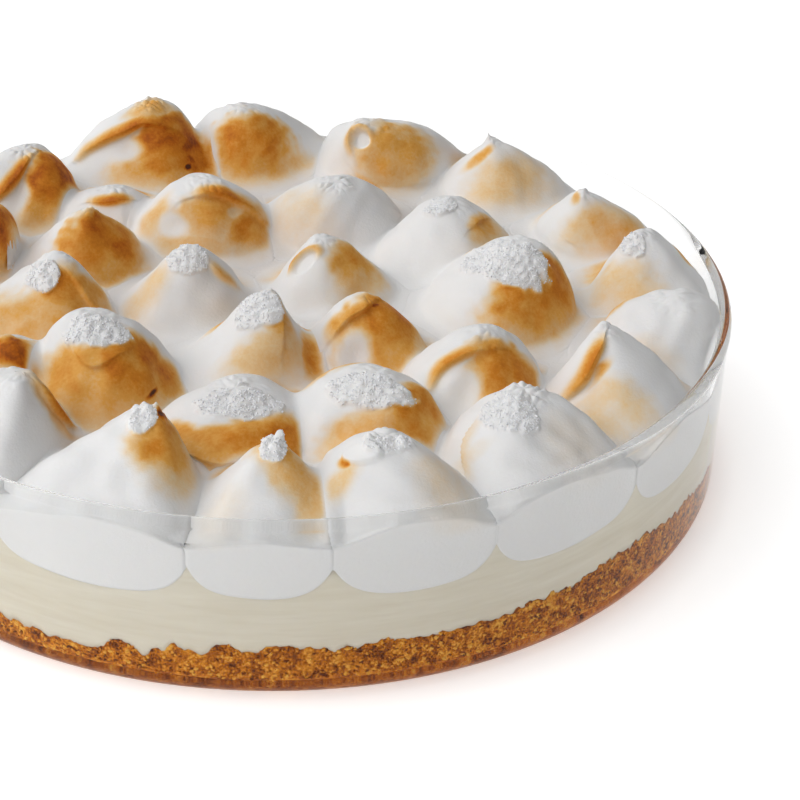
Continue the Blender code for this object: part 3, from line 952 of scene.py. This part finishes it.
def height_map(stand):
    """Heights of a kiss's dome over a square of the plane round its foot, falling steeply outside it."""
    steps = np.arange(-MAP_REACH, MAP_REACH + MAP_STEP, MAP_STEP)
    x, y = np.meshgrid(stand.x + steps, stand.y + steps, indexing="ij")
    heights = None
    spare_below = None
    rise_below = 0.0
    for rise in np.linspace(0, 0.98, 26):
        middle_x, middle_y = middle_at(stand, rise)
        away_x = x - middle_x
        away_y = y - middle_y
        radius = uneven_radius(stand, np.arctan2(away_y, away_x)) * dome_share(stand.form, rise)
        spare = radius - np.hypot(away_x, away_y)
        if heights is None:
            heights = np.where(spare < 0, WIDEST + spare, stand.top)
        else:
            crossed = (spare_below >= 0) & (spare < 0)
            share = spare_below / np.maximum(spare_below - spare, 1e-6)
            found = WIDEST + (stand.top - WIDEST) * (rise_below + (rise - rise_below) * share)
            heights = np.where(crossed, found, heights)
        spare_below = spare
        rise_below = rise
    return heights


HEIGHT_MAPS = [height_map(stand) for stand in STANDS]


def height_over(stand, x, y):
    """The kiss's dome read from its map, far below where the map ends."""
    heights = HEIGHT_MAPS[stand.number - 1]
    size = heights.shape[0]
    u = (x - stand.x + MAP_REACH) / MAP_STEP
    v = (y - stand.y + MAP_REACH) / MAP_STEP
    inside = (u >= 0) & (v >= 0) & (u < size - 1.001) & (v < size - 1.001)
    u = np.clip(u, 0, size - 1.001)
    v = np.clip(v, 0, size - 1.001)
    i = u.astype(int)
    j = v.astype(int)
    p = u - i
    q = v - j
    near = heights[i, j] * (1 - p) * (1 - q) + heights[i + 1, j] * p * (1 - q)
    far = heights[i, j + 1] * (1 - p) * q + heights[i + 1, j + 1] * p * q
    return np.where(inside, near + far, -1e3)


def kiss_grid(stand):
    """Rows of points up the kiss, from its rounded underside to just below its tip, and their rises.

    Only what is as wide as the bare dome touches the glass. The margin is the space left to a neighbour.
    """
    bearings = np.linspace(-math.pi, math.pi, AROUND, endpoint=False)
    radius = widened(stand, uneven_radius(stand, bearings), bearings)
    rows = []
    rises = []

    def add_row(middle_x, middle_y, reach, height, rise, bare):
        cell = room(stand, middle_x, middle_y, bearings)
        glass = glass_room(middle_x, middle_y, bearings)
        glass = np.maximum(glass - GLASS_GAP, np.minimum(glass, bare))
        held = np.minimum(np.minimum(reach, cell + PRESS), glass)
        sunk = 1.4 * np.clip((held - cell) / PRESS, 0, 1)**2
        x = middle_x + held * np.cos(bearings)
        y = middle_y + held * np.sin(bearings)
        rows.append(np.stack([x, y, np.broadcast_to(height, AROUND), sunk, cell - held], axis=1))
        rises.append(rise)

    def underside(share):
        return SUNK + (UNDERSIDE_TOP - SUNK) * share**UNDERSIDE_CURVE

    met = np.minimum(glass_room(stand.x, stand.y, bearings) / radius, 1.0)
    for step in np.linspace(0.12, 1.0, UNDER_ROWS):
        add_row(stand.x, stand.y, met * step * radius, underside(met * step), step - 3, radius)
    for step in np.linspace(1 / PRESSED_ROWS, 1.0, PRESSED_ROWS):
        share = met + (1 - met) * step
        beyond = np.where(met < 1, 0.0, 0.5 * FAR * step**2)
        add_row(stand.x, stand.y, share * radius + beyond, underside(share), step / 10 - 2, radius)
    add_row(stand.x, stand.y, FAR, APRON_FOOT, -1.85, radius)
    foot = radius * dome_share(stand.form, 0.0)
    cell = np.minimum(room(stand, stand.x, stand.y, bearings) + PRESS, FAR)
    for step in np.linspace(1, 0, APRON_ROWS, endpoint=False):
        add_row(stand.x, stand.y, foot + np.maximum(cell - foot, 0) * step, WIDEST, -step, radius)
    for step in np.linspace(0, 1, DOME_ROWS, endpoint=False):
        rise = 1 - (1 - step)**1.25
        middle_x, middle_y = middle_at(stand, rise)
        height = WIDEST + (stand.top - WIDEST) * rise
        bare = radius * bare_share(stand.form, rise)
        add_row(middle_x, middle_y, radius * dome_share(stand.form, rise), height, rise, bare)
    grid = np.array(rows)
    rises = np.array(rises)
    blend_with_neighbours(stand, grid, rises)
    return grid[..., :3], rises, grid[..., 4]


def blend_with_neighbours(stand, grid, rises):
    """Runs the kiss's upper side softly into the meringue floor between the kisses and into their feet.

    Rows that are held back to one place, at the glass or at a border, are stacked up evenly there.
    """
    above = rises >= -1.0
    x = grid[above, :, 0]
    y = grid[above, :, 1]
    own = height_over(stand, x, y)
    z = np.where((rises[above] < 0)[:, None], np.minimum(own, WIDEST), grid[above, :, 2])
    total = np.exp((z - WIDEST) / BLEND) + math.exp((VALLEY_FLOOR - WIDEST) / BLEND)
    for other in STANDS:
        distance = math.hypot(other.x - stand.x, other.y - stand.y)
        if other is not stand and distance < stand.form.radius + other.form.radius + 16:
            total += np.exp((height_over(other, x, y) - WIDEST) / BLEND)
    upper = WIDEST + BLEND * np.log(total) - grid[above, :, 3]
    foot = grid[np.flatnonzero(rises == 0)[0]]
    spread = np.hypot(x - foot[:, 0], y - foot[:, 1])
    stacked = (1 - smooth_step(0.0, 0.6, spread)) * np.clip(-rises[above], 0, 1)[:, None]
    grid[above, :, 2] = upper + (APRON_FOOT - upper) * 0.9 * stacked


def touching_glass(points):
    return smooth_step(PRESSED_RADIUS - 1.0, PRESSED_RADIUS - 0.1, np.hypot(points[..., 0], points[..., 1]))


def grid_normals(grid):
    level = np.roll(grid, -1, axis=1) - np.roll(grid, 1, axis=1)
    uphill = np.gradient(grid, axis=0)
    normals = np.cross(level, uphill)
    return normals / (np.linalg.norm(normals, axis=-1, keepdims=True) + 1e-9)


def spot(grid, rises, bearing, rise):
    """A point of the kiss's face, with the directions along the level, uphill and outwards."""
    j = round((bearing + 180) / 360 * AROUND) % AROUND
    i = min(max(int(np.abs(rises - rise).argmin()), 1), len(rises) - 2)
    level = grid[i, (j + 1) % AROUND] - grid[i, (j - 1) % AROUND]
    uphill = grid[i + 1, j] - grid[i - 1, j]
    level /= np.linalg.norm(level) + 1e-9
    uphill /= np.linalg.norm(uphill) + 1e-9
    outward = np.cross(level, uphill)
    outward /= np.linalg.norm(outward) + 1e-9
    uphill = np.cross(outward, level)
    return grid[i, j], level, uphill, outward


def oval_distance(grid, rises, mark):
    """Distance from an oval mark's middle, where 1 is its edge."""
    middle, level, uphill, outward = spot(grid, rises, mark.bearing, mark.rise)
    away = grid - middle
    turned = math.radians(mark.turn)
    along = away @ level
    up = away @ uphill
    first = along * math.cos(turned) + up * math.sin(turned)
    second = -along * math.sin(turned) + up * math.cos(turned)
    depth = away @ outward
    deepest = max(mark.wide, mark.high)
    return np.sqrt((first / mark.wide)**2 + (second / mark.high)**2 + (depth / deepest)**2)


def smooth_line(points, steps):
    """A Catmull-Rom curve through the points."""
    points = np.array(points, float)
    padded = np.concatenate([[2 * points[0] - points[1]], points, [2 * points[-1] - points[-2]]])
    line = []
    for i in range(len(points) - 1):
        a, b, c, d = padded[i:i + 4]
        for step in np.linspace(0, 1, steps, endpoint=False):
            line.append(0.5 * (2 * b + (c - a) * step + (2 * a - 5 * b + 4 * c - d) * step**2
                               + (3 * b - a - 3 * c + d) * step**3))
    line.append(points[-1])
    return np.array(line)


def fold_over(grid, normals, rises, fold, shift, toast):
    """Adds a fold's lip to the shift of each point, and its browning to the toast."""
    corners = [spot(grid, rises, bearing, rise)[0] for bearing, rise in fold.line]
    line = smooth_line(corners, 8)
    nearest = np.full(grid.shape[:2], 1e9)
    side = np.zeros(grid.shape[:2])
    along = np.zeros(grid.shape[:2])
    pull = np.zeros(grid.shape)
    count = len(line) - 1
    for i in range(count):
        start = line[i]
        step = line[i + 1] - start
        share = np.clip((grid - start) @ step / (step @ step), 0, 1)
        away = grid - (start + share[..., None] * step)
        distance = np.linalg.norm(away, axis=-1)
        over = np.cross(step / np.linalg.norm(step), normals)
        closer = distance < nearest
        nearest = np.where(closer, distance, nearest)
        side = np.where(closer, np.sign((away * over).sum(-1)), side)
        along = np.where(closer, (i + share) / count, along)
        pull = np.where(closer[..., None], over, pull)
    signed = nearest * side
    fade = np.sin(math.pi * np.clip(0.06 + 0.88 * along, 0, 1))**0.7
    behind = np.exp(np.minimum(signed, 0) / fold.reach)
    front = np.exp(-np.maximum(signed, 0) / LIP_EDGE)
    groove = GROOVE * np.maximum(signed, 0) / 1.3 * np.exp(1 - np.maximum(signed, 0) / 1.3)
    height = fold.lip * fade * (behind * front - groove * (signed > 0))
    shift += normals * height[..., None]
    overhang = 0.7 * fold.lip * fade * np.exp(-(((signed + 0.3) / 1.1)**2))
    shift += pull * overhang[..., None]
    brown = fold.toast * fade * np.exp(-(((signed + 0.5) / 1.5)**2))
    np.maximum(toast, brown, out=toast)


def curl_over(grid, normals, rises, curl, shift, toast):
    q = oval_distance(grid, rises, curl)
    inside = 1 - smooth_step(0.75, 1.05, q)
    middle, level, uphill, _ = spot(grid, rises, curl.bearing, curl.rise)
    toward_lip = (grid - middle) @ (0.6 * uphill - 0.8 * level) / curl.wide
    rim = np.exp(-(((q - 1.2) / 0.30)**2)) * smooth_step(-0.8, 0.7, toward_lip)
    shift += normals * (curl.rim * rim - curl.depth * inside)[..., None]
    toast *= 1 - inside
    np.maximum(toast, curl.toast * rim, out=toast)


def far_marks(stand):
    """Browning on the side away from the front, seeded by the kiss's number."""
    chance = random.Random(700 + stand.number)
    marks = []
    for _ in range(FAR_TOASTS):
        bearing = chance.uniform(62, 120)
        rise = chance.uniform(0.32, 0.48)
        strength = chance.uniform(0.35, 0.9)
        marks.append(Toast(stand.number, bearing, rise, chance.uniform(7, 13), chance.uniform(6, 10),
                           chance.uniform(-20, 20), strength, 0.3, 0.8))
    return marks


def toast_mark(grid, rises, mark, ragged):
    """How much one mark browns each point: crisp at its upper edge, fading downhill."""
    middle, _, uphill, _ = spot(grid, rises, mark.bearing, mark.rise)
    uphill_share = (grid - middle) @ uphill / mark.high
    softness = mark.soft_down + (mark.soft_up - mark.soft_down) * smooth_step(-0.5, 0.8, uphill_share)
    q = oval_distance(grid, rises, mark) + ragged
    share = np.clip((1 + softness - q) / (2 * softness), 0, 1)
    fading = 0.66 + 0.34 * smooth_step(-1.0, 0.5, uphill_share)
    return mark.strength * fading * share * share * (3 - 2 * share)


def of_kiss(stand, marks):
    return [mark for mark in marks if mark.kiss == stand.number]


def finish_kiss(stand, grid, rises, margin):
    """The kiss's surface with its lumps, folds, curls and sugar crust, and its toast and sugar values."""
    seed = 100 + stand.number
    normals = grid_normals(grid)
    on_dome = smooth_step(0.03, 0.3, rises)[:, None]
    dome_lumps = lumps(grid, BIG_LUMPS, seed) + lumps(grid, SMALL_LUMPS, seed + 50)
    dome_lumps *= smooth_step(0, 5, margin)
    floor_lumps = lumps(grid, FLOOR_LUMPS, 77)
    above = smooth_step(-1.2, -1.0, rises)[:, None]
    shift = normals * (on_dome * dome_lumps + above * (1 - on_dome) * floor_lumps)[..., None]
    ragged = 0.07 * waves(grid, 5.0, seed + 100) + 0.05 * waves(grid, 1.8, seed + 150)

    toast = np.zeros(grid.shape[:2])
    for mark in of_kiss(stand, TOASTS) + far_marks(stand):
        np.maximum(toast, toast_mark(grid, rises, mark, ragged), out=toast)
    toast *= 1 + 0.10 * waves(grid, 5.0, seed + 300) + 0.06 * waves(grid, 2.0, seed + 350)
    for dent in of_kiss(stand, DENTS):
        q = oval_distance(grid, rises, dent)
        shift -= normals * (dent.depth * np.exp(-(q / 0.8)**2))[..., None]
        toast *= 1 - dent.pale * (1 - smooth_step(0.5, 1.2, q + ragged))
    for fold in of_kiss(stand, FOLDS):
        fold_over(grid, normals, rises, fold, shift, toast)
    for curl in of_kiss(stand, CURLS):
        curl_over(grid, normals, rises, curl, shift, toast)
    toast *= smooth_step(-0.8, 2.0, margin) * smooth_step(VALLEY_FLOOR, VALLEY_FLOOR + 3.5, grid[..., 2])
    sugar = np.zeros(grid.shape[:2])
    for mark in of_kiss(stand, SUGARS):
        q = oval_distance(grid, rises, mark)
        np.maximum(sugar, 1 - smooth_step(0.90, 1.04, q + 1.1 * ragged), out=sugar)
    crumbly = 0.40 + 0.30 * np.abs(waves(grid, 2.6, seed + 200)) + 0.16 * waves(grid, 1.2, seed + 250)
    shift += normals * (sugar * crumbly)[..., None]
    toast *= 1 - sugar
    shift[..., 2] += CRESTS.get(stand.number, 0.3) * smooth_step(0.88, 0.98, rises)[:, None] * np.abs(
        waves(grid, 1.7, seed + 400))
    shift *= ((1 - touching_glass(grid)) * smooth_step(-PRESS, 1.0, margin))[..., None]
    return grid + shift, toast, sugar


def hold_in_glass(points):
    reach = np.maximum(np.hypot(points[..., 0], points[..., 1]), 1e-6)
    points[..., :2] *= np.minimum(PRESSED_RADIUS / reach, 1)[..., None]


def make_kiss(stand, finish):
    grid, rises, margin = kiss_grid(stand)
    surface, toast, sugar = finish_kiss(stand, grid, rises, margin)
    hold_in_glass(surface)
    bottom = [(stand.x, stand.y, SUNK)]
    top = [surface[-1].mean(axis=0) + np.array([0, 0, 0.15])]
    points = np.concatenate([bottom, surface.reshape(-1, 3), top])
    made = mesh_object(f"kiss_{stand.number:02d}", points, stacked_faces(len(rises), AROUND), finish)
    add_values(made, "toast", np.concatenate([[0.0], toast.ravel(), [toast[-1].mean()]]))
    return made, surface, sugar


def make_sugar(tree, beds, finish):
    """Sugar grains over every patch, strewn on the patches' own faces."""
    points = []
    faces = []
    weights = []
    for surface, sugar in beds:
        rows = surface.shape[0]
        start = sum(len(p) for p in points)
        points.append(surface.reshape(-1, 3))
        weights.append(sugar.ravel())
        for i in range(rows - 1):
            for j in range(AROUND):
                k = (j + 1) % AROUND
                if min(sugar[i, j], sugar[i, k], sugar[i + 1, j], sugar[i + 1, k]) > 0.25:
                    low = start + i * AROUND
                    faces.append((low + j, low + k, low + AROUND + k, low + AROUND + j))
    bed = mesh_object("sugar_grains", np.concatenate(points), faces, None)
    add_values(bed, "weight", np.concatenate(weights))
    return run_tree(bed, tree, {
        "Each square metre": 2200000.0,
        "Smallest": 0.0002,
        "Largest": 0.0007,
        "Ragged": 0.0002,
        "Darkest tone": 0.5,
        "Wall": 1.0,
        "Seed": 21,
        "Material": finish,
    })


# Camera, floor and light

def make_camera():
    forward = Vector((math.sin(YAW) * math.cos(PITCH), math.cos(YAW) * math.cos(PITCH), -math.sin(PITCH)))
    right = forward.cross(Vector((0, 0, 1))).normalized()
    up = right.cross(forward)
    rolled_right = math.cos(ROLL) * right + math.sin(ROLL) * up
    rolled_up = math.cos(ROLL) * up - math.sin(ROLL) * right
    data = bpy.data.cameras.new("camera")
    data.sensor_width = SENSOR_WIDTH
    data.lens = SENSOR_WIDTH * FOCAL_PIXELS / IMAGE_SIZE
    data.clip_start = 0.01
    made = bpy.data.objects.new("camera", data)
    bpy.context.scene.collection.objects.link(made)
    turn = Matrix((rolled_right, rolled_up, -forward)).transposed().to_4x4()
    made.matrix_world = Matrix.Translation(Vector(CAMERA_AT) * MM) @ turn
    bpy.context.scene.camera = made


def make_light(name, place, size, watts):
    data = bpy.data.lights.new(name, "AREA")
    data.shape = "RECTANGLE"
    data.size = size[0]
    data.size_y = size[1]
    data.energy = watts
    made = bpy.data.objects.new(name, data)
    made.location = place
    aim = Vector((0, 0, 0.03)) - Vector(place)
    made.rotation_euler = aim.to_track_quat("-Z", "Y").to_euler()
    bpy.context.scene.collection.objects.link(made)


def make_floor(finish):
    """The table top, a hair under the dish, so that the two flat faces don't fall on one another."""
    half = 4000.0
    corners = [(x, y, -TABLE_DROP) for x, y in ((-half, -half), (half, -half), (half, half), (-half, half))]
    made = mesh_object("table", corners, [(0, 1, 2, 3)], finish, smooth=False)


def make_world():
    """A white studio, brightest high up on the left, and brighter at the front left near the horizon.

    What the camera sees of it, straight or in the glass, is even white.
    """
    world = bpy.data.worlds.new("studio")
    world.use_nodes = True
    tree = world.node_tree
    place = add_node(tree, "ShaderNodeTexCoord").outputs["Generated"]
    shares = []
    for direction in (BRIGHT_SIDE, BRIGHT_SKYLINE):
        toward = add_node(tree, "ShaderNodeVectorMath", {0: place, 1: direction}, operation="DOT_PRODUCT")
        half = maths(tree, "MULTIPLY", toward.outputs["Value"], 0.5)
        shares.append(maths(tree, "ADD", half, 0.5))
    height = maths(tree, "ABSOLUTE", add_node(tree, "ShaderNodeSeparateXYZ", {0: place}).outputs["Z"])
    lighting = add_node(tree, "ShaderNodeMix", {
        "Factor": ramp(tree, height, ((0.12, (1.0, 1.0, 1.0)), (0.42, (0.0, 0.0, 0.0)))),
        "A": ramp(tree, shares[0], SIDES),
        "B": ramp(tree, shares[1], SKYLINE),
    }, data_type="RGBA")
    path = add_node(tree, "ShaderNodeLightPath")
    colour = add_node(tree, "ShaderNodeMix", {
        "Factor": maths(tree, "LESS_THAN", path.outputs["Diffuse Depth"], 0.5),
        "A": lighting.outputs["Result"],
        "B": SEEN_WHITE,
    }, data_type="RGBA")
    tree.links.new(colour.outputs["Result"], tree.nodes["Background"].inputs["Color"])
    bpy.context.scene.world = world


def stand_for(piece, node):
    """The piece goes on the root body and takes the place of a CAD node, which is hidden."""
    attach(piece, "root")
    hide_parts(node)


def main():
    bpy.context.scene.view_settings.view_transform = "Standard"
    make_camera()
    make_world()
    make_floor(floor_material())
    make_light("left_window", (-1.35, -0.20, 1.10), (1.2, 1.0), 4.2)

    stand_for(make_dish(glass_material()), "glass_dish")
    crumb = crumb_material()
    strewn = scatter_tree()
    stand_for(make_crust(crumb), "crumb_crust")
    crumbs = make_crust_crumbs(strewn, crumb)
    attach(crumbs, "root")
    stand_for(make_filling(filling_material()), "lemon_filling")

    meringue = meringue_material()
    beds = []
    for stand in STANDS:
        kiss, surface, sugar = make_kiss(stand, meringue)
        stand_for(kiss, f"meringue_{stand.number:02d}")
        beds.append((surface, sugar))
    grains = make_sugar(strewn, beds, sugar_material())
    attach(grains, "root")


main()
